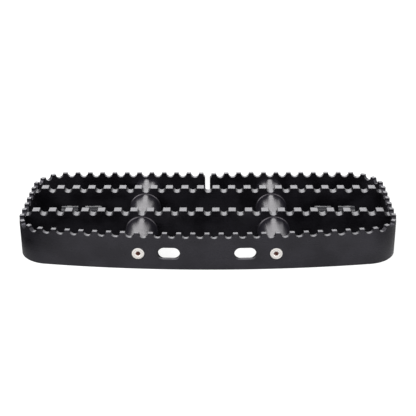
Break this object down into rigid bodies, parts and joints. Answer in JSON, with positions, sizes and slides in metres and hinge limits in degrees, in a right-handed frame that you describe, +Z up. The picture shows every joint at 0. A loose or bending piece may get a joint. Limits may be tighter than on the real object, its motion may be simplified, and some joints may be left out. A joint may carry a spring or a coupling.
{
  "type": "motorcycle floorboard",
  "caption": "Rider's motorcycle floorboard: a bowed, bent band with a toothed rim around toothed tread bars, held by round cross members, with slots in its front wall.",
  "frame": {"origin": "middle of the board's box, on the surface that it rests on", "axes": "+X along the board, -Y towards the bowed front wall with the slots, +Z up towards the teeth"},
  "size_m": [0.35, 0.145, 0.036],
  "materials": {
    "black_anodised_aluminium": "satin black anodised",
    "black_bracket_plate": "satin black anodised plate",
    "stainless_steel": "bright turned",
    "bright_steel": "drawn bar",
    "black_oxide_steel": "black oxide"
  },
  "bodies": {
    "root": {"rim_band": "black_anodised_aluminium", "front_tread_bar": "black_anodised_aluminium", "rear_tread_bar": "black_anodised_aluminium", "left_front_spacer": "black_anodised_aluminium", "left_middle_spacer": "black_anodised_aluminium", "left_rear_spacer": "black_anodised_aluminium", "right_front_spacer": "black_anodised_aluminium", "right_middle_spacer": "black_anodised_aluminium", "right_rear_spacer": "black_anodised_aluminium", "left_mount_bracket": "black_bracket_plate", "right_mount_bracket": "black_bracket_plate", "left_front_screw": "stainless_steel", "left_rear_screw": "stainless_steel", "right_front_screw": "stainless_steel", "right_rear_screw": "stainless_steel", "left_tie_rod": "bright_steel", "right_tie_rod": "bright_steel", "left_inner_bracket_screw": "black_oxide_steel", "left_outer_bracket_screw": "black_oxide_steel", "right_inner_bracket_screw": "black_oxide_steel", "right_outer_bracket_screw": "black_oxide_steel"}
  },
  "joints": []
}
